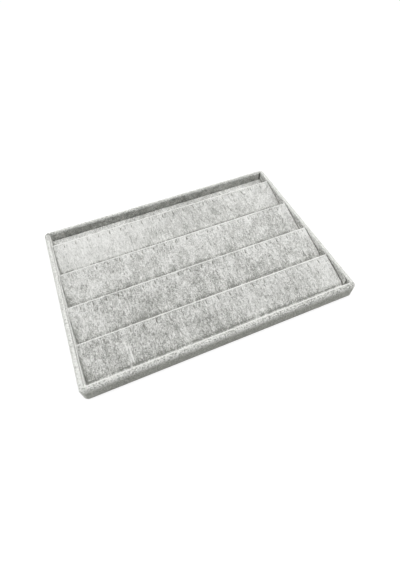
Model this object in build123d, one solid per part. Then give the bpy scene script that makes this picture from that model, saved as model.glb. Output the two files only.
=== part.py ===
from build123d import *
import os
from math import atan2, cos, degrees, sin, sqrt, tan

os.makedirs("parts", exist_ok=True)

# Velvet-covered jewelry tray with a lift-out insert of four sloped, slit rows.
# Millimetres. +X runs along the rows, +Y towards the rear, +Z up.
# The origin is on the table, under the centre of the tray.

# Tray frame
tray_length = 350.0
tray_depth = 250.0
tray_height = 22.0
corner_radius = 6.5
rim_outer_radius = 4.0
rim_inner_radius = 1.2
foot_radius = 0.5
rail_thickness = 4.5
base_board_thickness = 3.0

# Cloth and linings on the frame
cloth_thickness = 0.8
hem_width = 14.0
bottom_cover_thickness = 0.6
bottom_cover_inset = 3.0
floor_liner_thickness = 0.8
lining_thickness = 1.0
lining_below_rim = 1.2

# Brads in the corner joints
brad_diameter = 1.0
brad_length = 16.0
brad_sink = 1.0
brad_clearance = 0.05
brad_height_shares = (0.28, 0.72)

# Lift-out insert
insert_side_clearance = 0.7
insert_rest_gap = 0.3
base_card_thickness = 1.5
row_count = 4
rear_strip_width = 22.7
front_toe_trim = 4.3
crest_below_rim = 0.4
crest_radius = 1.6
card_thickness = 1.5
foam_thickness = 2.0
gusset_count = 5
gusset_thickness = 2.0
gusset_end_inset = 2.0

# Slits for the pendants' loops
slit_count = 20
slit_end_margin = 15.2
slit_from_crest = 3.2
slit_length = 5.0
slit_width = 0.7

# Overrun of a cutting tool past the surface it goes through
cut_overrun = 1.0

# Levels, from the table up
hem_low = bottom_cover_thickness
frame_low = hem_low + cloth_thickness
base_board_top = frame_low + base_board_thickness
floor_liner_top = base_board_top + floor_liner_thickness
frame_top = tray_height - cloth_thickness
lining_top = tray_height - lining_below_rim
base_card_low = floor_liner_top + insert_rest_gap
base_card_top = base_card_low + base_card_thickness
valley_level = base_card_top + cloth_thickness

# Plan sizes
frame_length = tray_length - 2 * cloth_thickness
frame_depth = tray_depth - 2 * cloth_thickness
frame_corner_radius = corner_radius - cloth_thickness
well_length = frame_length - 2 * rail_thickness
well_depth = frame_depth - 2 * rail_thickness
skirt_length = well_length - 2 * cloth_thickness
skirt_depth = well_depth - 2 * cloth_thickness
lined_length = skirt_length - 2 * lining_thickness
lined_depth = skirt_depth - 2 * lining_thickness
insert_length = lined_length - 2 * insert_side_clearance
insert_depth = lined_depth - 2 * insert_side_clearance
insert_front = -insert_depth / 2
insert_rear = insert_depth / 2

# Row profile: every ramp has the same slope, and the front rail trims the toe of the front one
row_pitch = (insert_depth - rear_strip_width + front_toe_trim) / row_count
crest_top = tray_height - crest_below_rim


def crest_corner_height(rise_angle):
    """Height of the sharp corner whose rounding of crest_radius tops out at crest_top."""
    centre_drop = crest_radius * (tan(rise_angle) + 1 / cos(rise_angle))
    return crest_top + centre_drop - crest_radius


slope_angle = atan2(crest_top - valley_level, row_pitch)
for _ in range(row_count):
    slope_angle = atan2(crest_corner_height(slope_angle) - valley_level, row_pitch)
crest_corner = crest_corner_height(slope_angle)
crest_places = [insert_rear - rear_strip_width - row * row_pitch for row in range(row_count)]


def plate(length, depth, radius, low, high):
    """Flat slab with rounded plan corners, between two levels."""
    return Pos(0, 0, low) * extrude(RectangleRounded(length, depth, radius), high - low)


def slab(low_corner, high_corner):
    """Rectangular block between two opposite corners."""
    size = [high - low for low, high in zip(low_corner, high_corner)]
    centre = [(high + low) / 2 for low, high in zip(low_corner, high_corner)]
    return Pos(*centre) * Box(*size)


def inner_rim_edges(ring):
    """Edges of the well along the top of a ring."""
    return ring.faces().sort_by(Axis.Z)[-1].inner_wires()[0].edges()


def rail_ring():
    """The four rails as one ring, before the corner joints part them."""
    block = plate(frame_length, frame_depth, frame_corner_radius, frame_low, frame_top)
    block = fillet(block.edges().group_by(Axis.Z)[-1], rim_outer_radius - cloth_thickness)
    ring = block - Pos(0, 0, frame_top / 2) * Box(well_length, well_depth, 2 * tray_height)
    return fillet(inner_rim_edges(ring), rim_inner_radius - cloth_thickness)


def brad_head_place():
    """Y of the frame's outer face where a brad goes in, near the rounded corner."""
    past_straight = max(brad_across - (frame_length / 2 - frame_corner_radius), 0)
    arc_centre = frame_depth / 2 - frame_corner_radius
    return arc_centre + sqrt(frame_corner_radius ** 2 - past_straight ** 2)


brad_across = frame_length / 2 - rail_thickness / 2
brad_levels = [frame_low + share * (frame_top - frame_low) for share in brad_height_shares]


def brad_rods(radius, head_overrun):
    """Rods through the front and rear rails into the ends of the side rails."""
    length = brad_length + head_overrun
    centre = brad_head_place() - brad_sink - brad_length / 2 + head_overrun / 2
    rod = Rot(X=90) * Cylinder(radius, length)
    return [Pos(x * brad_across, y * centre, level) * rod
            for x in (-1, 1) for y in (-1, 1) for level in brad_levels]


def tray_rails():
    """Front and rear rails run the full length; the side rails butt between them."""
    ring = rail_ring()
    for rod in brad_rods(brad_diameter / 2 + brad_clearance, brad_sink + cut_overrun):
        ring = ring - rod
    reach_x, reach_y = tray_length, tray_depth
    cut_front = slab((-reach_x, -reach_y, -reach_y), (reach_x, -well_depth / 2, reach_y))
    cut_rear = slab((-reach_x, well_depth / 2, -reach_y), (reach_x, reach_y, reach_y))
    cut_left = slab((-reach_x, -well_depth / 2, -reach_y), (0, well_depth / 2, reach_y))
    cut_right = slab((0, -well_depth / 2, -reach_y), (reach_x, well_depth / 2, reach_y))
    return {
        "front_rail": ring & cut_front,
        "rear_rail": ring & cut_rear,
        "left_rail": ring & cut_left,
        "right_rail": ring & cut_right,
    }


def base_board():
    return slab((-well_length / 2, -well_depth / 2, frame_low),
                (well_length / 2, well_depth / 2, base_board_top))


def velvet_wrap():
    """Cloth glued round the frame: hem under it, up the outside, over the rim, down the inside."""
    block = plate(tray_length, tray_depth, corner_radius, hem_low, tray_height)
    block = fillet(block.edges().group_by(Axis.Z)[-1], rim_outer_radius)
    block = fillet(block.edges().group_by(Axis.Z)[0], foot_radius)
    skirt_well = slab((-skirt_length / 2, -skirt_depth / 2, base_board_top),
                      (skirt_length / 2, skirt_depth / 2, 2 * tray_height))
    wrap = fillet(inner_rim_edges(block - skirt_well), rim_inner_radius)
    hem_length, hem_depth = tray_length - 2 * hem_width, tray_depth - 2 * hem_width
    wrap = wrap - slab((-hem_length / 2, -hem_depth / 2, 0), (hem_length / 2, hem_depth / 2, frame_low))
    return wrap - rail_ring() - base_board()


def bottom_cover():
    inset = 2 * bottom_cover_inset
    return plate(tray_length - inset, tray_depth - inset, corner_radius - bottom_cover_inset,
                 0, bottom_cover_thickness)


def floor_liner():
    return slab((-skirt_length / 2, -skirt_depth / 2, base_board_top),
                (skirt_length / 2, skirt_depth / 2, floor_liner_top))


def linings():
    """Card-backed velvet strips inside the walls, a little below the rim."""
    half_x, half_y = skirt_length / 2, skirt_depth / 2
    in_x, in_y = lined_length / 2, lined_depth / 2
    low, high = floor_liner_top, lining_top
    return {
        "front_lining": slab((-half_x, -half_y, low), (half_x, -in_y, high)),
        "rear_lining": slab((-half_x, in_y, low), (half_x, half_y, high)),
        "left_lining": slab((-half_x, -in_y, low), (-in_x, in_y, high)),
        "right_lining": slab((in_x, -in_y, low), (half_x, in_y, high)),
    }


def insert_base_card():
    return slab((-insert_length / 2, insert_front, base_card_low),
                (insert_length / 2, insert_rear, base_card_top))


def rear_strip_velvet():
    return slab((-insert_length / 2, crest_places[0], base_card_top),
                (insert_length / 2, insert_rear, valley_level))


def wedge(row, ramp_inset, riser_inset, radius, half_width):
    """What lies under a row's ramp and riser once both are shifted inwards, on the base card."""
    riser = crest_places[row] - riser_inset
    front = max(crest_places[row] - row_pitch, insert_front)

    def ramp_height(place):
        drop = (crest_places[row] - place) * tan(slope_angle)
        return crest_corner - drop - ramp_inset / cos(slope_angle)

    toe = riser - (ramp_height(riser) - base_card_top) / tan(slope_angle)
    if toe < front:
        toe_points = [(front, base_card_top), (front, ramp_height(front))]
    else:
        toe_points = [(toe, base_card_top)]
    points = toe_points + [(riser, ramp_height(riser)), (riser, base_card_top)]
    profile = Plane.YZ * make_face(Polyline(*points, close=True))
    body = extrude(profile, half_width, both=True)
    if radius > 0:
        body = fillet(body.edges().group_by(Axis.Z)[-1], radius)
    return body


def slit_cutters(row):
    """Thin blocks that go through the velvet and the foam, just below a crest."""
    depth = cloth_thickness + foam_thickness + cut_overrun
    pitch = (insert_length - 2 * slit_end_margin) / (slit_count - 1)
    down_ramp = slit_from_crest + slit_length / 2
    blade = Pos(0, -down_ramp, 0) * Box(slit_width, slit_length, 2 * depth)
    blade = Rot(X=degrees(slope_angle)) * blade
    first = -insert_length / 2 + slit_end_margin
    return [Pos(first + place * pitch, crest_places[row], crest_corner) * blade
            for place in range(slit_count)]


def step_pieces(row):
    """Velvet, foam, folded card and gussets of one row, each inside the one before."""
    half = insert_length / 2
    under_velvet = cloth_thickness
    under_foam = under_velvet + foam_thickness
    under_card = under_foam + card_thickness
    behind_card = under_velvet + card_thickness
    velvet_core = wedge(row, under_velvet, under_velvet, crest_radius - cloth_thickness, half)
    foam_core = wedge(row, under_foam, under_velvet, 0, half)
    card_core = wedge(row, under_card, behind_card, 0, half)
    velvet = wedge(row, 0, 0, crest_radius, half) - velvet_core
    foam = velvet_core - foam_core
    for cutter in slit_cutters(row):
        velvet = velvet - cutter
        foam = foam - cutter
    gusset = wedge(row, under_card, behind_card, 0, gusset_thickness / 2)
    span = insert_length - 2 * gusset_end_inset - gusset_thickness
    gussets = [Pos(span * (place / (gusset_count - 1) - 1 / 2), 0, 0) * gusset
               for place in range(gusset_count)]
    name = row + 1
    return {
        f"step_velvet_{name}": velvet,
        f"step_foam_{name}": foam,
        f"step_card_{name}": foam_core - card_core,
        f"step_gussets_{name}": Compound(children=gussets),
    }


nodes = {
    "base_board": base_board(),
    "velvet_wrap": velvet_wrap(),
    "bottom_cover": bottom_cover(),
    "floor_liner": floor_liner(),
    "corner_brads": Compound(children=brad_rods(brad_diameter / 2, 0)),
    "insert_base_card": insert_base_card(),
    "rear_strip_velvet": rear_strip_velvet(),
}
nodes.update(tray_rails())
nodes.update(linings())
for row in range(row_count):
    nodes.update(step_pieces(row))

for node, shape in nodes.items():
    export_step(shape, f"parts/{node}.step")

print(f"row pitch {row_pitch:.3f}, slope {degrees(slope_angle):.3f} degrees, crest corner {crest_corner:.3f}")
print("crests at", [round(place, 3) for place in crest_places], "valley level", round(valley_level, 3))
print("insert", round(insert_length, 3), "by", round(insert_depth, 3), "base card", round(base_card_low, 3))
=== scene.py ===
import math

import bmesh
import bpy
import numpy as np
from mathutils import Euler, Matrix, Vector, noise


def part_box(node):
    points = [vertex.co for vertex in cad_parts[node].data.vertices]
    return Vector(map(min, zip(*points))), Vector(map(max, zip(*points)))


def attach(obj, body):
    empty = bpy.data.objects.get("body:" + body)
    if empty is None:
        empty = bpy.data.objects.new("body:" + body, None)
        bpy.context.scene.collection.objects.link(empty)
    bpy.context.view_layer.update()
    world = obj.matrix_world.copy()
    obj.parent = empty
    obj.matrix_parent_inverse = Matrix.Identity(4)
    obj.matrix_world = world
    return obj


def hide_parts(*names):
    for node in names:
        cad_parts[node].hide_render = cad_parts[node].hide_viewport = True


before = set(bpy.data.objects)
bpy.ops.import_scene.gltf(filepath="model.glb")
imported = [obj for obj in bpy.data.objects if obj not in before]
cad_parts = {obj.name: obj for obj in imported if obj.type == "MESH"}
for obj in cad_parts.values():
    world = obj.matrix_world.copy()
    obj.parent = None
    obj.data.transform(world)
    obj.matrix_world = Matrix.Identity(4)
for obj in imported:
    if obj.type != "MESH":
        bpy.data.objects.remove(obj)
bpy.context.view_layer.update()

# Velvet-covered jewelry tray with a lift-out insert of four sloped, slit rows.
# Lengths are in millimetres, in the part's own frame, and MM turns them into Blender's metres.
MM = 0.001


def box_mm(node):
    """Lowest and highest corner of a CAD node, in millimetres."""
    low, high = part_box(node)
    return [value / MM for value in low], [value / MM for value in high]


def placed(name, data):
    """A new object in the scene."""
    thing = bpy.data.objects.new(name, data)
    bpy.context.scene.collection.objects.link(thing)
    return thing


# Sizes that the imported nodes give
row_count = 4
wrap_low, wrap_high = box_mm("velvet_wrap")
half_length, half_depth, tray_height = wrap_high
hem_low = wrap_low[2]
board_high = box_mm("base_board")[1][2]
liner_low, liner_high = box_mm("floor_liner")
cover_high = box_mm("bottom_cover")[1]
card_low, card_high = box_mm("insert_base_card")
strip_low, strip_high = box_mm("rear_strip_velvet")
crest_places = [box_mm(f"step_velvet_{row + 1}")[1][1] for row in range(row_count)]
crest_top = box_mm("step_velvet_1")[1][2]
valley_level = strip_high[2]
insert_half = card_high[0]
row_pitch = crest_places[0] - crest_places[1]

# Sizes repeated from the part's source, or added up from its sizes
corner_radius = 6.5
rim_outer_radius = 4.0
rim_inner_radius = 1.2
rim_width = 6.1
cloth_thickness = 0.8
hem_width = 14.0
lining_thickness = 1.0
crest_radius = 1.6
foam_thickness = 2.0
slit_count = 20
slit_end_margin = 15.2
slit_from_crest = 3.2
slit_length = 5.0

# Sizes in which the cloth differs from its solids, and where a pad rolls off, from the riser in front
foot_radius = 1.5
fold_radius = 1.0
slit_half_width = 0.42
tuck_start = 7.0
tuck_end = 13.0

# How far each crest leans back, and how far each row reaches past the insert's right end
crest_lean = (0.9, 0.0, -0.3, 0.7)
right_reach = (0.1, 0.15, 0.25, -0.6)
# The second row's toe lies flat towards its right end
flat_toe_row = 1
flat_toe_from = 146.0
flat_toe_run = 12.0

# Pile of the rows: how light and how mottled, how both change to the right, and the patches stroked
# lighter or darker, as place, half width and weight
row_level = (-0.07, -0.06, -0.10, -0.07)
row_brushing = (-0.08, 0.0, 0.02, 0.15)
row_mottle = (-0.45, -0.14, -0.07, -0.18)
row_calming = (0.12, 0.0, 0.0, -0.14)
row_patches = (
    ((-100.0, 40.0, 0.15), (22.0, 28.0, -0.22)),
    ((-148.0, 22.0, 0.08), (100.0, 20.0, 0.05), (138.0, 15.0, -0.26), (165.0, 8.0, 0.12)),
    ((-155.0, 20.0, 0.18), (-5.0, 32.0, -0.09), (100.0, 30.0, 0.05), (168.0, 12.0, 0.28)),
    ((-150.0, 20.0, 0.06), (-20.0, 30.0, -0.07), (35.0, 22.0, 0.08),
     (105.0, 20.0, -0.13), (165.0, 20.0, 0.20)),
)
# Light lines brushed down a row: row, place, and start, end and weight down the slope
brushed_lines = (
    (2, -98.5, 18.0, 32.0, 0.35),
    (3, -114.7, 14.0, 26.0, 0.45),
    (3, -111.5, 20.0, 42.0, 0.55),
)
brushed_half_width = 0.6

# Slope of the ramps, found in a few rounds, that makes the rounded crest reach crest_top
slope_rounds = 6
slope = math.atan2(crest_top - valley_level, row_pitch)
for _ in range(slope_rounds):
    corner_rise = crest_radius * (math.tan(slope) + 1 / math.cos(slope) - 1)
    slope = math.atan2(crest_top + corner_rise - valley_level, row_pitch)
crest_corner = crest_top + corner_rise


class Nodes:
    """Short calls for the nodes of a material or a world."""

    def __init__(self, owner):
        owner.use_nodes = True
        self.tree = owner.node_tree

    def add(self, kind, settings=None, **inputs):
        """A node with its settings and its inputs, by name or, as i0, i1 and so on, by number."""
        node = self.tree.nodes.new("ShaderNode" + kind)
        for key, value in (settings or {}).items():
            setattr(node, key, value)
        for key, value in inputs.items():
            numbered = key[0] == "i" and key[1:].isdigit()
            self.set(node.inputs[int(key[1:]) if numbered else key], value)
        return node

    def set(self, socket, value):
        """Links a socket to an input, or sets the input to a plain value."""
        if isinstance(value, bpy.types.NodeSocket):
            self.tree.links.new(value, socket)
        else:
            socket.default_value = value


class Surface(Nodes):
    """Short calls for the looks of one material."""

    def __init__(self, name):
        self.material = bpy.data.materials.new(name)
        super().__init__(self.material)
        self.shader = self.tree.nodes["Principled BSDF"]
        self.place = self.add("TexCoord").outputs["Object"]

    def scaled(self, lengths):
        """Coordinates divided by a length in millimetres along each axis."""
        scale = [1 / (MM * length) for length in lengths]
        return self.add("Mapping", Vector=self.place, Scale=scale).outputs["Vector"]

    def noise(self, size, detail=2.0, roughness=0.5, offset=0.0):
        """Noise whose features are about size millimetres along x, y and z."""
        lengths = size if hasattr(size, "__len__") else (size, size, size)
        coords = self.scaled(lengths)
        if offset:
            coords = self.add("VectorMath", i0=coords, i1=(offset, offset * 0.7, -offset)).outputs[0]
        node = self.add("TexNoise", Vector=coords, Scale=1.0, Detail=detail, Roughness=roughness)
        return node.outputs["Fac"]

    def attribute(self, name):
        """A value that the mesh carries at each point."""
        return self.add("Attribute", {"attribute_name": name}).outputs["Fac"]

    def math(self, operation, left, right=0.0, clamp=False):
        node = self.add("Math", {"operation": operation, "use_clamp": clamp}, i0=left, i1=right)
        return node.outputs[0]

    def centred(self, value, weight):
        """A 0 to 1 value made to swing round 0 by about weight."""
        return self.math("MULTIPLY", self.math("SUBTRACT", value, 0.5), weight)

    def around(self, middle, value, weight):
        """A 0 to 1 value made to swing round middle by about weight."""
        return self.math("ADD", self.centred(value, weight), middle)

    def total(self, *values):
        result = values[0]
        for value in values[1:]:
            result = self.math("ADD", result, value)
        return result

    def ramp(self, value, stops):
        """Colour that follows a value through stops of place and colour."""
        node = self.add("ValToRGB", i0=value)
        elements = node.color_ramp.elements
        while len(elements) < len(stops):
            elements.new(0.5)
        for element, (place, colour) in zip(elements, stops):
            element.position = place
            element.color = (*colour, 1.0)
        return node.outputs["Color"]

    def bump(self, height, strength, depth_mm, normal=None):
        node = self.add("Bump", Height=height, Strength=strength, Distance=depth_mm * MM)
        if normal is not None:
            self.set(node.inputs["Normal"], normal)
        return node.outputs["Normal"]

    def dress(self, colour, roughness, normal, gloss=None):
        """The finished material, with plain values for its gloss."""
        self.set(self.shader.inputs["Base Color"], colour)
        self.set(self.shader.inputs["Roughness"], roughness)
        self.set(self.shader.inputs["Normal"], normal)
        for name, value in (gloss or {}).items():
            self.shader.inputs[name].default_value = value
        return self.material


# Specks, tufts and clouds of velvet, as size, detail, roughness and offset of the noise
velvet_layers = ((1.1, 3.0, 0.7, 0.0), (3.4, 2.0, 0.55, 11.3), (14.0, 2.0, 0.5, 23.9))
patch_size = 55.0
hair_size = 0.22
# Brush lines: the share of the noise that shows as one, and the offsets of light and dark ones
brush_size = (3.2, 15.0, 15.0)
brush_share = 0.035
brush_offsets = (31.7, 47.3)
# Middle of the pile's level, and share of the light colour in its middle colour
middle_level = 0.55
middle_colour = 0.62
# Weights of specks, tufts, clouds and broad patches
velvet_weights = (4.2, 1.4, 1.1, 0.5)
velvet_gloss = {
    "Sheen Weight": 1.0,
    "Sheen Roughness": 0.4,
    "Sheen Tint": (0.975, 0.98, 0.945, 1.0),
    "Specular IOR Level": 0.15,
}
flock_gloss = {"Sheen Weight": 0.25, "Sheen Roughness": 0.5, "Specular IOR Level": 0.1}


def velvet(name, streak, dark, light, speckle=1.0, brushing=0.0, weights=velvet_weights):
    """Crushed short-pile velvet: fine speckle, cloudy patches and brush lines down the y axis."""
    n = Surface(name)
    grains = [n.noise([size * length for length in streak], *look) for size, *look in velvet_layers]
    broad = n.noise(patch_size, detail=1.0, offset=5.1)
    mottle = n.total(*[n.centred(grain, weight) for grain, weight in zip(grains, weights)])
    swing = n.math("ADD", n.attribute("pile_swing"), speckle)
    level = n.total(middle_level, n.math("MULTIPLY", mottle, swing), n.centred(broad, weights[3]))
    if brushing:
        for offset, weight in zip(brush_offsets, (brushing, -brushing)):
            line = n.noise(brush_size, detail=1.0, offset=offset)
            near = n.math("DIVIDE", n.math("ABSOLUTE", n.math("SUBTRACT", line, 0.5)), brush_share)
            share = n.math("SUBTRACT", 1.0, near, clamp=True)
            level = n.total(level, n.math("MULTIPLY", share, weight))
    # The mesh's tone and shade adds the pile's own lighter and darker places, and painted light and shade
    level = n.math("ADD", level, n.attribute("pile_tone_and_painted_light"), clamp=True)
    middle = [low + middle_colour * (high - low) for low, high in zip(dark, light)]
    colour = n.ramp(level, [(0.0, dark), (0.5, middle), (1.0, light)])
    relief = n.bump(n.noise(hair_size, roughness=0.6), strength=0.35, depth_mm=0.12)
    relief = n.bump(level, strength=0.55, depth_mm=0.25, normal=relief)
    return n.dress(colour, n.around(0.86, grains[0], 0.25), relief, velvet_gloss)


def flock(name, dark, light):
    """Short, even flocking on paper."""
    n = Surface(name)
    fine = n.noise(0.35, detail=3.0, roughness=0.6)
    cloud = n.noise(12.0, detail=3.0, offset=3.0)
    level = n.total(0.5, n.centred(fine, 0.9), n.centred(cloud, 0.5))
    colour = n.ramp(level, [(0.1, dark), (0.9, light)])
    relief = n.bump(fine, strength=0.4, depth_mm=0.15)
    return n.dress(colour, n.around(0.9, fine, 0.2), relief, flock_gloss)


def fibreboard(name, dark, light):
    """Pressed wood fibre with flecks."""
    n = Surface(name)
    fleck = n.noise((0.9, 0.5, 0.25), detail=4.0, roughness=0.65)
    cloud = n.noise(9.0, offset=7.0)
    level = n.total(0.5, n.centred(fleck, 1.1), n.centred(cloud, 0.4))
    colour = n.ramp(level, [(0.1, dark), (0.9, light)])
    relief = n.bump(fleck, strength=0.4, depth_mm=0.1)
    return n.dress(colour, n.around(0.75, fleck, 0.3), relief)


def foam(name, dark, light):
    """Open-cell foam."""
    n = Surface(name)
    cells = n.add("TexVoronoi", Vector=n.scaled((0.45, 0.45, 0.45)), Scale=1.0).outputs["Distance"]
    cloud = n.noise(3.0)
    level = n.total(0.35, n.math("MULTIPLY", cells, 0.5), n.centred(cloud, 0.4))
    colour = n.ramp(level, [(0.1, dark), (0.9, light)])
    relief = n.bump(cells, strength=0.6, depth_mm=0.2)
    return n.dress(colour, n.around(0.92, cloud, 0.2), relief)


def steel(name, dark, light):
    """Drawn wire with fine lengthwise lines."""
    n = Surface(name)
    lines = n.noise((0.12, 6.0, 0.12), roughness=0.6)
    colour = n.ramp(lines, [(0.2, dark), (0.8, light)])
    relief = n.bump(lines, strength=0.2, depth_mm=0.02)
    return n.dress(colour, n.around(0.35, lines, 0.2), relief, {"Metallic": 1.0})


ramp_dark = (0.239, 0.242, 0.2245)
ramp_light = (0.7805, 0.782, 0.760)
velvet_dark = (0.238, 0.242, 0.222)
velvet_light = (0.779, 0.782, 0.755)
ramp_velvet = velvet("ramp_velvet", (0.72, 1.25, 1.25), ramp_dark, ramp_light, brushing=0.35)
wall_velvet = velvet("wall_velvet", (1.5, 1.5, 1.5), velvet_dark, velvet_light, speckle=1.2,
                     weights=(4.0, 0.5, 0.3, 0.25))
lining_velvet = velvet("lining_velvet", (1.0, 1.0, 1.0), velvet_dark, velvet_light, speckle=1.2)
side_lining_velvet = velvet("side_lining_velvet", (0.8, 2.6, 0.8), velvet_dark, velvet_light, speckle=2.2)
base_flock = flock("base_flock", (0.22, 0.22, 0.22), (0.38, 0.38, 0.38))
mdf = fibreboard("mdf", (0.36, 0.25, 0.15), (0.55, 0.41, 0.27))
greyboard = fibreboard("greyboard", (0.30, 0.28, 0.25), (0.47, 0.45, 0.41))
pad_foam = foam("pad_foam", (0.60, 0.59, 0.55), (0.82, 0.81, 0.77))
wire_steel = steel("wire_steel", (0.42, 0.42, 0.43), (0.62, 0.62, 0.63))

# Least turn between two faces that is shaded as a hard edge
hard_turn = math.radians(50.0)


def mesh_piece(name, points, faces, material, body, tone_and_shade=None, swing=None):
    """A shaded piece from points in millimetres, with hard edges only where faces turn sharply.
    Its tone and shade is above 0 where the pile looks lighter or light is painted in, below 0 where shade
    is painted in, and its swing where it is more mottled."""
    mesh = bpy.data.meshes.new(name)
    mesh.from_pydata(np.asarray(points, float) * MM, [], faces)
    for attribute, values in (("pile_tone_and_painted_light", tone_and_shade), ("pile_swing", swing)):
        if values is not None:
            mesh.attributes.new(attribute, "FLOAT", "POINT").data.foreach_set("value", values.ravel())
    build = bmesh.new()
    build.from_mesh(mesh)
    loose = [vert for vert in build.verts if not vert.link_faces]
    bmesh.ops.delete(build, geom=loose, context="VERTS")
    bmesh.ops.recalc_face_normals(build, faces=build.faces)
    for face in build.faces:
        face.smooth = True
    for edge in build.edges:
        edge.smooth = edge.calc_face_angle(0.0) < hard_turn
    build.to_mesh(mesh)
    build.free()
    mesh.materials.append(material)
    piece = placed(name, mesh)
    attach(piece, body)
    return piece


def shell_faces(cells, closed):
    """Faces of two stacked grids, joined by walls along every free edge of the kept cells."""
    rows, columns = cells.shape[0] + 1, cells.shape[1] + (0 if closed else 1)
    under = rows * columns
    faces = []
    for row, column in zip(*np.nonzero(cells)):
        after = (column + 1) % columns
        ring = [row * columns + column, row * columns + after,
                (row + 1) * columns + after, (row + 1) * columns + column]
        faces.append(ring)
        faces.append([under + index for index in reversed(ring)])
        beside = [(row - 1, column), (row, column + 1), (row + 1, column), (row, column - 1)]
        for side, (other_row, other_column) in enumerate(beside):
            if closed:
                other_column %= cells.shape[1]
            inside = 0 <= other_row < cells.shape[0] and 0 <= other_column < cells.shape[1]
            if not (inside and cells[other_row, other_column]):
                start, end = ring[side], ring[(side + 1) % 4]
                faces.append([start, under + start, under + end, end])
    return faces


def shell_piece(name, outer, inner, material, body, closed=False, cells=None, tone_and_shade=None, swing=None):
    """A closed sheet between two grids of points that have the same rows and columns."""
    if cells is None:
        cells = np.ones((outer.shape[0] - 1, outer.shape[1] - (0 if closed else 1)), bool)
    points = np.concatenate([outer.reshape(-1, 3), inner.reshape(-1, 3)])
    tone_and_shade, swing = [None if values is None else np.concatenate([values, values]) for values in (tone_and_shade, swing)]
    return mesh_piece(name, points, shell_faces(cells, closed), material, body, tone_and_shade, swing)


def tube_piece(name, rings, material, body, tone_and_shade=None):
    """A bar through closed rings of points, with a cap on both ends."""
    count, around = rings.shape[:2]
    faces = [list(range(around)), [(count - 1) * around + index for index in range(around)]]
    for ring in range(count - 1):
        for index in range(around):
            after = (index + 1) % around
            faces.append([ring * around + index, ring * around + after,
                          (ring + 1) * around + after, (ring + 1) * around + index])
    return mesh_piece(name, rings.reshape(-1, 3), faces, material, body, tone_and_shade)


def wave(points, size, seed):
    """Smooth noise from -1 to 1 at each point, with features of about size millimetres."""
    shift = Vector((seed * 13.7, seed * 7.3, seed * 3.1))
    flat = points.reshape(-1, 3) / size
    values = [noise.noise(Vector(point) + shift) for point in flat]
    return np.array(values).reshape(points.shape[:-1])


def waves(points, heights_and_sizes, seed):
    """Waves on top of each other, each as its height and the size of its features."""
    return sum(height * wave(points, size, seed + index)
               for index, (height, size) in enumerate(heights_and_sizes))


def arc_points(centre, radius, start, end, count):
    """Points on an arc in a plane, angles in degrees."""
    angles = np.radians(np.linspace(start, end, count))
    return np.stack([centre[0] + radius * np.cos(angles), centre[1] + radius * np.sin(angles)], axis=1)


def joined(*runs):
    """Runs of points end to end, with each point that two of them share only once."""
    return np.concatenate([runs[0]] + [run[1:] for run in runs[1:]])


def spaced(start, end, spacing):
    """Even places from start to end, at least spacing apart, or start alone."""
    return np.linspace(start, end, int((end - start) / spacing) + 1)


def even_step(value, start, run):
    """Share that rises evenly from 0 at start to 1 at the end of its run."""
    return np.clip((value - start) / run, 0.0, 1.0)


def smooth_step(value, start, end):
    """Share that rises softly from 0 at start to 1 at end."""
    share = even_step(value, start, end - start)
    return share * share * (3 - 2 * share)


def hump(distance, half_width, power=2):
    """Share that falls from 1 at no distance to near 0 beyond the half width."""
    return np.exp(-(distance / half_width) ** power)


# Wrap of the tray frame. Steps along a long side, a short side and a corner
wrap_steps = (210, 148, 10)
bottom_steps = (60, 40, 8)
least_corner_radius = 0.3
least_foot_radius = 0.02


def contour(inset, steps):
    """Closed line round the tray, inset from its outer face, with the same points at every inset."""
    long_steps, short_steps, corner_steps = steps
    radius = max(corner_radius - inset, least_corner_radius)
    reach_x, reach_y = half_length - inset - radius, half_depth - inset - radius
    points = []
    for quarter, (side_x, side_y) in enumerate(((1, 1), (-1, 1), (-1, -1), (1, -1))):
        start = 90.0 * quarter
        for angle in np.radians(np.linspace(start, start + 90.0, corner_steps + 1)):
            points.append((side_x * reach_x + radius * math.cos(angle),
                           side_y * reach_y + radius * math.sin(angle)))
        count, along_x = ((long_steps, True), (short_steps, False))[quarter % 2]
        for step in range(1, count):
            share = 1 - 2 * step / count
            if along_x:
                points.append((side_x * reach_x * share, side_y * (reach_y + radius)))
            else:
                points.append((side_x * (reach_x + radius), side_y * reach_y * share))
    return np.array(points)


def wrap_profile(offset):
    """Inset and height along the cloth, offset inwards from its outer skin: hem, face, rim, skirt.
    The last number of each run is its count of points."""
    foot = max(foot_radius - offset, least_foot_radius)
    foot_place = offset + foot
    low = hem_low + offset
    rim_centre = tray_height - rim_outer_radius
    lip_centre = (rim_width - rim_inner_radius, tray_height - rim_inner_radius)
    outer, lip = rim_outer_radius - offset, rim_inner_radius - offset
    skirt = rim_width - offset
    return joined(
        np.linspace((hem_width, low), (foot_place, low), 5),
        arc_points((foot_place, low + foot), foot, 270.0, 180.0, 4),
        np.linspace((offset, low + foot), (offset, rim_centre), 11),
        arc_points((rim_outer_radius, rim_centre), outer, 180.0, 90.0, 10),
        np.linspace((rim_outer_radius, tray_height - offset), (lip_centre[0], tray_height - offset), 2),
        arc_points(lip_centre, lip, 90.0, 0.0, 6),
        np.linspace((skirt, lip_centre[1]), (skirt, board_high), 8),
    )


def rings_round(section, steps):
    """Rings of points round the tray, one for each inset and height of a section."""
    rings = []
    for inset, height in section:
        plan = contour(inset, steps)
        rings.append(np.column_stack([plan, np.full(len(plan), height)]))
    return np.array(rings)


# Soft swell of the wrap, which is held flat at its foot and behind the linings
wrap_swells = ((0.10, 18.0), (0.06, 4.0))
swell_from = 1.5
swell_run = 6.0
skirt_inset = rim_width - 0.1

profile = wrap_profile(0.0)
wrap_outer = rings_round(profile, wrap_steps)
wrap_inner = rings_round(wrap_profile(cloth_thickness), wrap_steps)
outward = (wrap_outer - wrap_inner) / cloth_thickness
loose_cloth = even_step(profile[:, 1], swell_from, swell_run) * (profile[:, 0] < skirt_inset)
swell = waves(wrap_outer, wrap_swells, 1)
wrap_outer = wrap_outer + outward * (swell * loose_cloth[:, None])[..., None]
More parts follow.
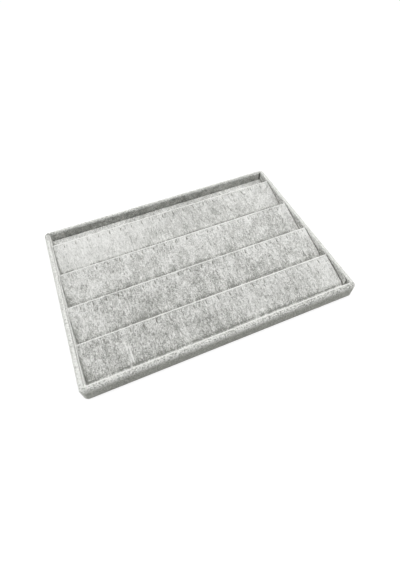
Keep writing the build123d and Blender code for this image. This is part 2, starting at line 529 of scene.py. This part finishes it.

# Places on the wrap where light and shade are painted into its pile, by height, inset, place and reach
face_top = 17.0
rim_depth = 3.5
rear_rim_foot = 20.0
bend_height = 19.2
bend_run = 1.7
lip_depth = 2.0
lip_inset = 3.0
lip_run = 3.0
corner_reach = 2.5
rear_left_spot = (3.0 - half_length, half_depth - 6.0)
rear_left_reach = 12.0
right_part_from = 40.0
right_part_run = 100.0
# How mottled the wrap is: its faces and right rim, its other rims, and what the front and left add
plain_swing = -0.5
rim_swing = -0.15
front_rim_swing = 0.12
left_rim_swing = -0.25

wrap_x, wrap_y = wrap_outer[:, :, 0], wrap_outer[:, :, 1]
wrap_inset, wrap_height = profile[:, 0][:, None], profile[:, 1][:, None]
on_side = (np.abs(wrap_y) < half_depth - corner_radius) & (np.abs(wrap_x) > half_length - 2 * rim_width)
on_left = on_side & (wrap_x < 0)
in_front = (wrap_y < 2 * rim_width - half_depth) & ~on_side
in_rear = (wrap_y > half_depth - 2 * rim_width) & ~on_side
on_rim = wrap_height > tray_height - rim_depth
off_corner = np.maximum(half_length - np.abs(wrap_x), half_depth - np.abs(wrap_y))
behind = (wrap_inset > skirt_inset) & (wrap_height < tray_height - rim_inner_radius - 0.1)
bend = hump(wrap_height - bend_height, bend_run) * (wrap_inset < rim_outer_radius)
lip = even_step(wrap_inset, lip_inset, lip_run) * (wrap_height > tray_height - lip_depth)
rear_rim = in_rear & (wrap_height > rear_rim_foot)
off_rear_left = np.hypot(wrap_x - rear_left_spot[0], wrap_y - rear_left_spot[1])
right_part = even_step(wrap_x, right_part_from, right_part_run)
# Light and shade painted into the wrap's pile, by how much and where: lighter sides, rims and rim bends,
# and painted shade behind the linings, in the corner recesses, on the front face, at the rear-left corner
# and along the front rim's right part
wrap_painted_light_and_shade = sum(weight * share for weight, share in (
    (0.15, on_side),
    (-0.6, behind & ~in_front),
    (-0.5, behind & (off_corner < rim_width + corner_reach)),
    (0.30, in_front * bend),
    (-0.18, in_front & (wrap_height < face_top)),
    (-0.05, in_front * lip),
    (0.15, on_left * lip),
    (0.12, on_left * bend),
    (0.12, rear_rim),
    (0.14, rear_rim & (wrap_inset < rim_outer_radius)),
    (-0.3, hump(off_rear_left, rear_left_reach)),
    (-0.12, (in_front & on_rim) * right_part),
))
wrap_swing = np.where(on_rim & (on_left | ~on_side), rim_swing, plain_swing)
wrap_swing += front_rim_swing * (in_front & on_rim) + left_rim_swing * (on_left & on_rim)
wrap_cloth = shell_piece("wrap_cloth", wrap_outer, wrap_inner, wall_velvet, "tray",
                         closed=True, tone_and_shade=wrap_painted_light_and_shade, swing=wrap_swing)
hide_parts("velvet_wrap")

# Linings inside the walls: ends that were cut short, how far each top stands off its wall, and the
# front one's rise and bulge
lining_front_end = {"right": -112.4}
lining_rear_end = {"right": 117.0, "rear": 165.9}
lining_lean = {"front": -0.15, "rear": 0.25, "left": 0.45, "right": 0.1}
lining_rise = {"front": 0.9}
lining_bulge = {"front": 0.35}
lining_width = {"right": 0.5}
lining_top_radius = 0.3
# Heights over which a lining leaves its wall, spacing of its sections, and how uneven it is
lining_bend = (14.0, 20.0)
lining_spacing = 1.5
lining_wave_size = 22.0
lining_dip = 0.22
lining_bow = 0.14
lean_swing = 0.3
# The right lining curls off its wall at its front end, and bellies out behind that
curl_depth = 1.4
curl_run = 5.0
curl_bend = (10.5, 14.5)
belly_depth = 0.5
belly_run = 32.0
# Light and shade painted into each lining's pile, side by side, on its face, a painted highlight on its top
# edge, and how it changes along the lining
lining_painted_light = {"front": 0.0, "rear": -0.22, "left": 0.7, "right": 0.14}
lining_top_highlight = {"front": 0.75, "rear": 0.12, "left": 0.6, "right": 0.76}
left_rear_painted_light = 0.22
left_rear_run = (30.0, 60.0)
rear_right_painted_light = 0.08
# Painted shade where the steps end at the right lining and on the wall side of its top, and a painted
# highlight along its front end
right_valley_painted_shade = -0.85
right_back_painted_shade = -0.6
right_back_from = 16.0
right_end_highlight = 0.6
right_end_run = 2.0
# Runs over which the painted shade beside a step fades: behind its riser, over its ramp and below the rim
valley_run = (5.0, 11.0)
ramp_shade_run = (0.2, 0.8)
rim_shade_run = (16.0, 20.0)


def lining_section(low, high, thickness):
    """Distance from the wall and height round one lining strip."""
    radius = min(lining_top_radius, 0.45 * thickness)
    centre = high - radius
    return joined(
        np.linspace((0.0, low), (0.0, centre), 15),
        arc_points((radius, centre), radius, 180.0, 90.0, 4),
        arc_points((thickness - radius, centre), radius, 90.0, 0.0, 4),
        np.linspace((thickness, centre), (thickness, low), 45),
    )


def valley_shade(place, height):
    """Share from 0 to 1 of the painted shade where the steps end at a lining."""
    ahead = [crest for crest in crest_places if crest >= place]
    ramp = crest_corner - (min(ahead) - place) * math.tan(slope) if ahead else valley_level
    passed = [place - crest for crest in crest_places if place > crest]
    valley = 1 - smooth_step(min(passed), *valley_run) if passed else 0.0
    foot = 1 - smooth_step(height - ramp, *ramp_shade_run)
    return np.maximum(foot, valley * (1 - smooth_step(height, *rim_shade_run)))


def lining(side, seed):
    """One strip, laid along its wall with slightly uneven top and face."""
    low, high = box_mm(f"{side}_lining")
    top = high[2] + lining_rise.get(side, 0.0)
    section = lining_section(low[2], top, lining_width.get(side, lining_thickness))
    along_x = side in ("front", "rear")
    start, end = (low[0], high[0]) if along_x else (low[1], high[1])
    start = lining_front_end.get(side, start)
    end = lining_rear_end.get(side, end)
    wall = {"front": low[1], "rear": high[1], "left": low[0], "right": high[0]}[side]
    inward = 1 if side in ("front", "left") else -1
    out, flat_height = section[:, 0], section[:, 1]
    rise = even_step(flat_height, low[2], high[2] - low[2])
    off_wall = smooth_step(flat_height, *lining_bend)
    rings, tones_and_shades = [], []
    for place in spaced(start, end, lining_spacing):
        seat = Vector((place / lining_wave_size, seed * 5.0, 0.0))
        dip = lining_dip * noise.noise(seat)
        bow = lining_bow * (1 + noise.noise(seat * 1.7)) * 0.5
        lean = lining_lean[side] * (1 + lean_swing * noise.noise(seat * 2.3)) * off_wall
        if side == "right":
            curl = curl_depth * hump(place - start, curl_run)
            belly = belly_depth * hump(place - start, belly_run)
            lean = lean + belly + curl * smooth_step(flat_height, *curl_bend)
        face = bow * np.sin(rise * math.pi) + lining_bulge.get(side, 0.0) * off_wall
        depth = wall + inward * (out + lean + face * (out > 0.5))
        height = flat_height + dip * rise ** 3
        along = np.full(len(section), place)
        rings.append(np.column_stack([along, depth, height] if along_x else [depth, along, height]))
        # Painted light and shade on the lining's pile
        tone_and_shade = np.full(len(section), lining_painted_light[side])
        tone_and_shade[flat_height > top - 1.5 * lining_top_radius] += lining_top_highlight[side]
        if side == "left":
            tone_and_shade += left_rear_painted_light * smooth_step(place, *left_rear_run)
        if side == "rear":
            tone_and_shade += rear_right_painted_light * place / half_length
        if side == "right":
            tone_and_shade += right_valley_painted_shade * valley_shade(place, flat_height)
            tone_and_shade[(flat_height > right_back_from) & (out < 0.5)] += right_back_painted_shade
            tone_and_shade += right_end_highlight * (place < start + right_end_run)
        tones_and_shades.append(tone_and_shade)
    cloth = lining_velvet if along_x else side_lining_velvet
    piece = tube_piece(f"lining_cloth_{side}", np.array(rings), cloth, "tray", np.array(tones_and_shades))
    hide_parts(f"{side}_lining")
    return piece


lining_sides = ("front", "rear", "left", "right")
lining_cloths = {side: lining(side, seed) for seed, side in enumerate(lining_sides, 3)}

# Slit columns and the rows of a step
slit_pitch = (2 * insert_half - 2 * slit_end_margin) / (slit_count - 1)
slit_places = [slit_end_margin - insert_half + slit * slit_pitch for slit in range(slit_count)]
slit_middle = slit_from_crest + slit_length / 2
corner_run = fold_radius / math.tan((math.pi / 2 - slope) / 2)
# Spacing of a step's lines across and down its cloth and its pad, and its extra lines
cloth_across, cloth_down = 2.0, 1.7
pad_across, pad_down = 4.0, 4.0
end_lines = (0.0, 0.4, 0.9, 1.5, 2.2, 3.2)
beside_slit = 1.0
upper_lines = (2.0, 2.65)
toe_spacing = 2.0


def across_lines(row, between):
    """Columns across a step, and the ones that are the left edge of a slit."""
    columns, left_edges = [off - insert_half for off in end_lines], []
    offsets = [share * brushed_half_width for share in (-2, -1, 1, 2)]
    extra = [line[1] + off for line in brushed_lines for off in offsets]
    for slit in slit_places:
        start, end = columns[-1], slit - beside_slit
        run = spaced(start, end, between)
        inside = [place for place in extra if start + 0.3 < place < end - 0.3]
        for place in inside:
            run = run[(np.abs(run - place) > brushed_half_width) | (run == start) | (run == end)]
        run = np.union1d(run, inside)
        columns += list(run[1:]) + [slit - slit_half_width, slit + slit_half_width, slit + beside_slit]
        left_edges.append(len(columns) - 3)
    right_end = insert_half + right_reach[row]
    run = spaced(columns[-1], right_end - end_lines[-1], between)
    return np.array(columns + list(run[1:]) + [right_end - off for off in end_lines[-2::-1]]), left_edges


def down_stations(length, spacing):
    """Distances down the slope from the sharp crest corner, with lines at both ends of the slits."""
    slit_end = slit_from_crest + slit_length
    inside = slit_from_crest + slit_length * (1 - np.cos(np.linspace(0, math.pi, 8))) / 2
    roll_start = row_pitch / math.cos(slope) - tuck_end - 4.0
    roll_end = row_pitch / math.cos(slope) - tuck_start + 1.0
    below = spaced(slit_end, roll_start, spacing)
    roll = np.linspace(roll_start, roll_end, 16)
    toe = spaced(roll_end, length, toe_spacing)
    return joined(np.array([corner_run, *upper_lines, slit_from_crest]), inside, below, roll, toe)


def step_rows(row, inset, spacing):
    """Profile of a row from its toe to the foot of its riser, inset from the outer skin.
    Each point is y, z, and the distance down the slope, below 0 on the crest and riser."""
    crest = crest_places[row]
    front = max(crest - row_pitch, card_low[1])
    down = down_stations((crest - front) / math.cos(slope), spacing)[::-1]
    normal = np.array((-math.sin(slope), math.cos(slope)))
    run = np.array((-math.cos(slope), -math.sin(slope)))
    corner = np.array((crest, crest_corner))
    ramp = corner + down[:, None] * run - inset * normal
    centre = (crest - fold_radius, crest_corner - fold_radius * (math.tan(slope) + 1 / math.cos(slope)))
    arc = arc_points(centre, fold_radius - inset, 90.0 + math.degrees(slope), 0.0, 9)
    riser = np.linspace((crest - inset, centre[1]), (crest - inset, card_high[2]), 8)
    outline = joined(ramp, arc, riser)
    marks = np.concatenate([down, -np.arange(1.0, len(outline) - len(down) + 1)])
    return np.column_stack([outline, marks])


def card_line(row, place):
    """Height of a ramp's card under its foam, carried on straight past its ends."""
    under_corner = crest_corner - (cloth_thickness + foam_thickness) / math.cos(slope)
    return under_corner - (crest_places[row] - place) * math.tan(slope)


def foam_room(row, inner_rows):
    """Depth of foam under each point of the cloth's inner skin, down to nothing on the riser."""
    card_top = np.maximum(card_line(row, inner_rows[:, 0]), card_high[2])
    room = (inner_rows[:, 1] - card_top) * math.cos(slope)
    on_ramp = np.clip(1 + inner_rows[:, 2] / 8, 0.0, 1.0)
    return np.clip(room, 0.0, foam_thickness) * on_ramp


def toe_place(row):
    """Where a ramp meets the riser in front of it, or the front wall."""
    return max(crest_places[row] - row_pitch, rim_width - half_depth)


def flat_toe(across):
    """0 where a ramp's toe rolls off, and up to 1 where it lies flat."""
    return smooth_step(across, flat_toe_from, flat_toe_from + flat_toe_run)


# Shares by which the foam is pressed, at most and at the left end, and how far in that goes
press_share = 0.92
end_press = 0.75
end_press_run = 1.3


def tucked(row, grid, rows, normals, room):
    """Grid pressed down into the foam where the pad rolls off, along its toe and at its left end."""
    from_riser = (rows[:, 0] - toe_place(row))[:, None]
    from_end = grid[:, :, 0] + insert_half
    toe = 1 - smooth_step(from_riser, tuck_start, tuck_end)
    toe = toe * (1 - (row == flat_toe_row) * flat_toe(grid[:, :, 0]))
    pressed = 1 - (1 - toe) * (1 - end_press * hump(from_end, end_press_run))
    return grid - normals * (pressed * press_share * room[:, None])[..., None]


def slit_share(down):
    """1 in the middle of a slit's length, 0 at its ends and beyond."""
    return math.sqrt(max(1 - ((down - slit_middle) / (slit_length / 2)) ** 2, 0.0))


def step_grid(rows, columns, left_edges):
    """Grid over one profile, with the slit edges drawn in to a lens shape."""
    grid = np.zeros((len(rows), len(columns), 3))
    grid[:, :, 0] = columns
    grid[:, :, 1:] = rows[:, None, :2]
    for index, down in enumerate(rows[:, 2]):
        half = slit_half_width * (0.3 + 0.7 * slit_share(down))
        for slit, left in zip(slit_places, left_edges):
            grid[index, left, 0] = slit - half
            grid[index, left + 1, 0] = slit + half
    return grid


def slit_cells(rows, columns, left_edges):
    """Cells of a step's grid, without those inside a slit."""
    cells = np.ones((len(rows) - 1, len(columns) - 1), bool)
    middles = (rows[:-1, 2] + rows[1:, 2]) / 2
    inside = (middles > slit_from_crest) & (middles < slit_from_crest + slit_length)
    for left in left_edges:
        cells[inside, left] = False
    return cells


# Relief of a step's cloth: padding, crest, and a raised lip and a dip beside each slit
padding_waves = ((0.16, 26.0), (0.07, 7.0))
crest_bulge = 0.35
crest_bulge_run = 1.2
slit_lip = 0.16
slit_lip_place = 1.1
slit_lip_run = 0.6
slit_dip = 0.30
slit_dip_run = 0.5
slit_relief_length = 3.0


def step_relief(grid, rows, seed):
    """Height of the cloth over its flat shape."""
    down = rows[:, 2][:, None]
    relief = waves(grid, padding_waves, seed)
    relief += crest_bulge * np.where(down > 0, hump(down - corner_run, crest_bulge_run), 1.0)
    along = hump(down - slit_middle, slit_relief_length, 4)
    for slit in slit_places:
        off_slit = np.abs(grid[:, :, 0] - slit)
        raised = slit_lip * hump(off_slit - slit_lip_place, slit_lip_run)
        relief += along * (raised - slit_dip * hump(off_slit, slit_dip_run))
    return relief


# The front row's cloth over its cards' front edge: its gap and thickness, and each line of points as
# distance inwards and share of the height
lip_gap = 0.03
lip_thickness = 0.35
lip_rows = ((0.0, 0.0), (0.0, 0.5), (0.0, 0.85), (0.2, 1.0))


def over_edge(grid, gap):
    """A grid with rows added in front, that run down over the front edge of the cards."""
    lowest = card_low[2] + 0.1
    rise = grid[0, :, 2] - 0.1 - lowest
    rows = []
    for inwards, share in lip_rows:
        line = grid[0].copy()
        line[:, 1] = card_low[1] - gap + inwards
        line[:, 2] = lowest + share * rise
        rows.append(line)
    return np.concatenate([rows, grid])


# Painted light on a step: how much lighter it gets to the rear and up the slope, and a painted highlight on
# the crest between marks
rearward_painted_light = 0.09
uphill_painted_light = 0.16
crest_highlight = 0.5
crest_marks = (-6, 2)
# Painted shade along each toe, its run from the riser in front, and how uneven it is
row_toe_shade = (-0.50, -0.28, -0.22, -0.20)
toe_shade_run = (8.5, 14.0)
toe_unevenness = 0.9
flat_toe_light = 0.8
# Painted shade in a broken crease along a toe, its distance from what stands in front, and the painted
# light before it
row_crease_shade = (0.0, 0.0, 0.0, 0.8)
crease_place = 8.8
crease_run = 0.8
crease_painted_light = 0.25
# Painted shade at each row's lower left corner, and painted shade down row 1's left end and painted light
# down the other rows' left ends, with their runs and reaches
row_left_corner_shade = (-0.10, -0.42, -0.35, -0.45)
left_corner_run = (22.0, 40.0)
left_corner_reach = 5.0
row_left_end_light_and_shade = (-0.50, 0.35, 0.20, 0.40)
row_left_end_run = ((8.0, 84.0), (8.0, 24.0), (8.0, 24.0), (8.0, 24.0))
left_end_reach = 1.8
# Painted light left of a slit, and painted shade on its left edge and on its right edge
slit_light_and_shade = (0.15, -0.15, -0.35)


def step_tone_and_painted_light(row, grid, rows, left_edges):
    """Tone of the pile over one step's cloth, with its painted light and shade."""
    down = rows[:, 2]
    from_riser = rows[:, 0] - toe_place(row)
    across = grid[:, :, 0]
    from_left = across + insert_half
    # Row's tone, with painted light towards the rear, up the slope and on the crest
    tone_and_shade = row_level[row] + rearward_painted_light * grid[:, :, 1] / half_depth
    tone_and_shade += row_brushing[row] * across / half_length
    tone_and_shade += uphill_painted_light * (0.5 - np.clip(down / row_pitch, 0.0, 1.0))[:, None]
    tone_and_shade += crest_highlight * ((down > crest_marks[0]) & (down < crest_marks[1]))[:, None]
    # Painted shade along the toe and in a broken crease
    toe_depth = 1 + toe_unevenness * wave(grid * (1.0, 0.3, 0.3), 6.0, 61 + row)
    toe_shade = toe_depth * (1 - smooth_step(from_riser, *toe_shade_run))[:, None]
    tone_and_shade += row_toe_shade[row] * toe_shade * (1 - flat_toe_light * flat_toe(across))
    crease = np.clip(0.4 + 1.2 * wave(grid * (1.0, 0.2, 0.2), 5.0, 71), 0.0, 1.0)
    crease *= hump(from_riser - crease_place, crease_run)[:, None]
    tone_and_shade -= row_crease_shade[row] * (crease - crease_painted_light * (from_riser < crease_place - 1.0)[:, None])
    for line_row, place, start, end, weight in brushed_lines:
        along = smooth_step(down, start - 2.0, start + 2.0) * (1 - smooth_step(down, end - 2.0, end + 2.0))
        near = hump(across - place, 1.6 * brushed_half_width, 8)
        tone_and_shade += (line_row == row) * weight * along[:, None] * near
    # Painted shade at the lower left corner, and painted light and shade down the left end
    lower_part = smooth_step(down, *left_corner_run)[:, None]
    upper_part = (1 - smooth_step(down, *row_left_end_run[row]))[:, None]
    tone_and_shade += row_left_corner_shade[row] * lower_part * hump(from_left, left_corner_reach)
    tone_and_shade += row_left_end_light_and_shade[row] * upper_part * hump(from_left, left_end_reach)
    for place, half_width, weight in row_patches[row]:
        tone_and_shade += weight * hump(across - place, half_width)
    # Painted light and shade beside each slit
    shares = np.array([slit_share(value) for value in down])
    for left in left_edges:
        tone_and_shade[:, left - 1] += slit_light_and_shade[0] * (shares > 0)
        tone_and_shade[:, left] += slit_light_and_shade[1] * shares
        tone_and_shade[:, left + 1] += slit_light_and_shade[2] * shares
    return tone_and_shade


# Runs over which a crest's lean fades, where the riser stays flat, and the relief left at the toe
ramp_lean_run = (2.0, 14.0)
riser_lean_run = (12.0, 20.0)
flat_riser_mark = -9
toe_relief = 0.3


def step_cloth(row):
    """Cloth of one step, from its toe over the padded ramp and the crest to the riser's foot."""
    columns, left_edges = across_lines(row, cloth_across)
    rows = step_rows(row, 0.0, cloth_down)
    under = step_rows(row, cloth_thickness, cloth_down)
    outer = step_grid(rows, columns, left_edges)
    inner = step_grid(under, columns, left_edges)
    normals = (outer - inner) / cloth_thickness
    relief = step_relief(outer, rows, 20 + 3 * row)
    down = rows[:, 2]
    riser_lean = smooth_step(rows[:, 1], *riser_lean_run)
    leaning = np.where(down > 0, 1 - smooth_step(down, *ramp_lean_run), riser_lean)
    free = np.ones(len(rows))
    free[down < flat_riser_mark] = 0.0
    free[:2] = toe_relief
    tone_and_shade = step_tone_and_painted_light(row, outer, rows, left_edges)
    swing = row_mottle[row] + row_calming[row] * outer[:, :, 0] / half_length
    room = foam_room(row, under)
    outer = tucked(row, outer, rows, normals, room)
    inner = tucked(row, inner, rows, normals, room)
    outer = outer + normals * (relief * free[:, None])[..., None]
    for grid in (outer, inner):
        grid[:, :, 1] += crest_lean[row] * leaning[:, None]
    cells = slit_cells(rows, columns, left_edges)
    if row == row_count - 1:
        outer = over_edge(outer, lip_gap + lip_thickness)
        inner = over_edge(inner, lip_gap)
        added = ((len(lip_rows), 0), (0, 0))
        tone_and_shade, swing, cells = [np.pad(values, added, "edge") for values in (tone_and_shade, swing, cells)]
    name = row + 1
    piece = shell_piece(f"step_cloth_{name}", outer, inner, ramp_velvet, "step_insert",
                        cells=cells, tone_and_shade=tone_and_shade, swing=swing)
    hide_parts(f"step_velvet_{name}")
    return piece


def step_pad(row):
    """Foam under the cloth of one ramp, down to the card, with the same slits."""
    columns, left_edges = across_lines(row, pad_across)
    top = step_rows(row, cloth_thickness, pad_down)
    skin = step_rows(row, 0.0, pad_down)
    room = foam_room(row, top)
    crest = crest_places[row]
    edge = crest - cloth_thickness
    edge_height = card_line(row, edge)
    keep = (top[:, 1] > edge_height) | (top[:, 0] < edge - 0.01)
    lean = np.concatenate([(skin - top)[keep, :2] / cloth_thickness, [[0.0, 0.0]]])
    top = np.concatenate([top[keep], [[edge, edge_height + 0.02, -30.0]]])
    room = np.append(room[keep], 0.0)
    under = top.copy()
    toe = max(crest - (card_line(row, crest) - card_high[2]) / math.tan(slope), top[0, 0])
    on_ramp = top[:, 2] > 0
    under[:, 0] = np.clip(top[:, 0], toe, edge)
    under[~on_ramp, 0] = np.linspace(under[on_ramp, 0][-1], edge, np.count_nonzero(~on_ramp) + 1)[1:]
    under[:, 1] = np.maximum(card_line(row, under[:, 0]), card_high[2])
    outer = step_grid(top, columns, left_edges)
    inner = step_grid(under, columns, left_edges)
    inner[:, :, 0] = outer[:, :, 0]
    normals = np.zeros(outer.shape)
    normals[:, :, 1:] = lean[:, None, :]
    outer = tucked(row, outer, top, normals, room)
    cells = slit_cells(top, columns, left_edges)
    name = row + 1
    piece = shell_piece(f"step_pad_{name}", outer, inner, pad_foam, "step_insert", cells=cells)
    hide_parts(f"step_foam_{name}")
    return piece


step_cloths = [step_cloth(row) for row in range(row_count)]
step_pads = [step_pad(row) for row in range(row_count)]

# Flat sheets: line inside each edge, drop of the top's edge, waves, and a curled rear edge
sheet_edge_line = 0.5
sheet_edge_drop = 0.3
sheet_edge_run = 0.4
sheet_wave_size = 14.0
curl_lines = (1.4, 1.1, 0.8, 0.2)
curl_top = 0.8
curl_fall = 0.9


def sheet_piece(name, box, spacing, material, body, swell, seed, curl=0.0):
    """A flat sheet with a softly uneven top and a rolled edge, that curls up before its rear edge."""
    low, high = box
    along = spaced(low[0], high[0], spacing)
    across = spaced(low[1], high[1], spacing)
    for line in (along, across):
        line[1], line[-2] = line[0] + sheet_edge_line, line[-1] - sheet_edge_line
    if curl:
        across = np.union1d(across, [high[1] - off for off in curl_lines])
    x, y = np.meshgrid(along, across)
    top = np.stack([x, y, np.full(x.shape, high[2])], axis=-1)
    bottom = np.stack([x, y, np.full(x.shape, low[2])], axis=-1)
    edge = np.minimum(np.minimum(x - low[0], high[0] - x), np.minimum(y - low[1], high[1] - y))
    fall = 1 - smooth_step(y, high[1] - curl_fall, high[1])
    lift = curl * smooth_step(y, low[1], high[1] - curl_top) * fall
    drop = sheet_edge_drop * hump(edge, sheet_edge_run) * (high[2] - low[2])
    bottom[:, :, 2] += lift
    top[:, :, 2] += lift + swell * wave(top, sheet_wave_size, seed) - drop
    return shell_piece(name, top, bottom, material, body)


strip_cloth = sheet_piece("rear_strip_cloth", (strip_low, strip_high), 2.0, ramp_velvet,
                          "step_insert", swell=0.12, seed=41, curl=2.2)
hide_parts("rear_strip_velvet")
floor_cloth = sheet_piece("floor_sheet", (liner_low, liner_high), 4.0, base_flock,
                          "tray", swell=0.06, seed=42)
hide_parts("floor_liner")

# The bottom sheet's section, from inside its top to inside its underside
bottom_inside = 30.0
bottom_round = 0.25
bottom_bevel = 0.2


def bottom_sheet():
    """Flocked sheet under the base, with rounded corners and edges."""
    inset, thick = half_length - cover_high[0], cover_high[2]
    section = [(bottom_inside, thick), (bottom_round, thick), (0.0, thick - bottom_bevel),
               (0.0, bottom_bevel), (bottom_round, 0.0), (bottom_inside, 0.0)]
    rings = rings_round([(inset + more, height) for more, height in section], bottom_steps)
    piece = tube_piece("bottom_sheet", rings, base_flock, "tray")
    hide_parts("bottom_cover")
    return piece


base_sheet = bottom_sheet()

# Materials of the rigid CAD nodes, and of the hidden ones
for name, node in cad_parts.items():
    if name.endswith("_rail") or name == "base_board":
        finish = mdf
    elif name == "corner_brads":
        finish = wire_steel
    else:
        finish = greyboard
    node.data.materials.clear()
    node.data.materials.append(finish)

# Camera, fitted to the photograph: place in metres, angles in degrees, lens and sensor in millimetres
camera_place = Vector((-0.0951, -0.28231, 0.38666))
camera_elevation = 55.313
camera_heading = 20.858
camera_roll = -2.186
camera_data = bpy.data.cameras.new("camera")
camera_data.lens = 22.246
camera_data.sensor_width = 36.0
camera_data.clip_start = 0.01
camera = placed("camera", camera_data)
turn = Euler((math.radians(90.0 - camera_elevation), 0.0, math.radians(-camera_heading)), "XYZ").to_matrix()
turn = turn @ Matrix.Rotation(math.radians(camera_roll), 3, "Z")
camera.matrix_world = Matrix.Translation(camera_place) @ turn.to_4x4()
bpy.context.scene.camera = camera

# Floor, world and lamps, in metres and watts
floor_half = 4.0
floor_bounce = (0.547, 0.552, 0.515, 1.0)
floor_shadow = (0.22, 0.22, 0.22, 1.0)
floor_glow = 0.87
world_strength = 0.10
white = (1.0, 1.0, 1.0, 1.0)
softboxes = (
    ("top_softbox", (0.10, 0.0, 1.1), 1.3, 1.3, 13.1),
    ("right_softbox", (1.2, 0.3, 0.7), 0.8, 0.5, 7.0),
    ("left_softbox", (-1.2, 0.2, 0.5), 0.8, 0.5, 6.0),
    ("rear_softbox", (0.0, 1.3, 0.6), 1.2, 0.4, 2.0),
)


def mixed_output(n, kind, for_light, for_eye):
    """Sends one shader to the light, and another to the eye, also in a mirror or through glass."""
    path = n.add("LightPath").outputs
    eye_ray = path["Is Camera Ray"]
    for name in ("Is Glossy Ray", "Is Transmission Ray"):
        eye_ray = n.add("Math", {"operation": "MAXIMUM"}, i0=eye_ray, i1=path[name]).outputs[0]
    mix = n.add("MixShader", i0=eye_ray, i1=for_light.outputs[0], i2=for_eye.outputs[0])
    n.add(kind, Surface=mix.outputs[0])


def make_floor():
    """Floor that is pale for the light, and white with the object's shadow to the eye."""
    mesh = bpy.data.meshes.new("floor")
    corners = [(x * floor_half, y * floor_half, 0) for x, y in ((-1, -1), (1, -1), (1, 1), (-1, 1))]
    mesh.from_pydata(corners, [], [(0, 1, 2, 3)])
    material = bpy.data.materials.new("floor_paper")
    n = Nodes(material)
    n.tree.nodes.clear()
    bounce = n.add("BsdfDiffuse", Color=floor_bounce)
    shadow = n.add("BsdfDiffuse", Color=floor_shadow)
    glow = n.add("Emission", Strength=floor_glow)
    both = n.add("AddShader", i0=shadow.outputs[0], i1=glow.outputs[0])
    mixed_output(n, "OutputMaterial", bounce, both)
    mesh.materials.append(material)
    floor = placed("floor", mesh)


def make_world():
    """Even soft light from all round, and plain white to the eye."""
    world = bpy.data.worlds.new("world")
    n = Nodes(world)
    n.tree.nodes.clear()
    light = n.add("Background", Color=white, Strength=world_strength)
    seen = n.add("Background", Color=white)
    mixed_output(n, "OutputWorld", light, seen)
    bpy.context.scene.world = world


def softbox(name, place, width, height, watts):
    """Rectangular lamp that faces the middle of the tray's underside."""
    data = bpy.data.lights.new(name, "AREA")
    data.shape = "RECTANGLE"
    data.size = width
    data.size_y = height
    data.energy = watts
    lamp = placed(name, data)
    lamp.location = place
    lamp.rotation_mode = "QUATERNION"
    lamp.rotation_quaternion = (-Vector(place)).to_track_quat("-Z", "Y")


make_floor()
make_world()
for values in softboxes:
    softbox(*values)

bpy.context.scene.view_settings.view_transform = "Standard"
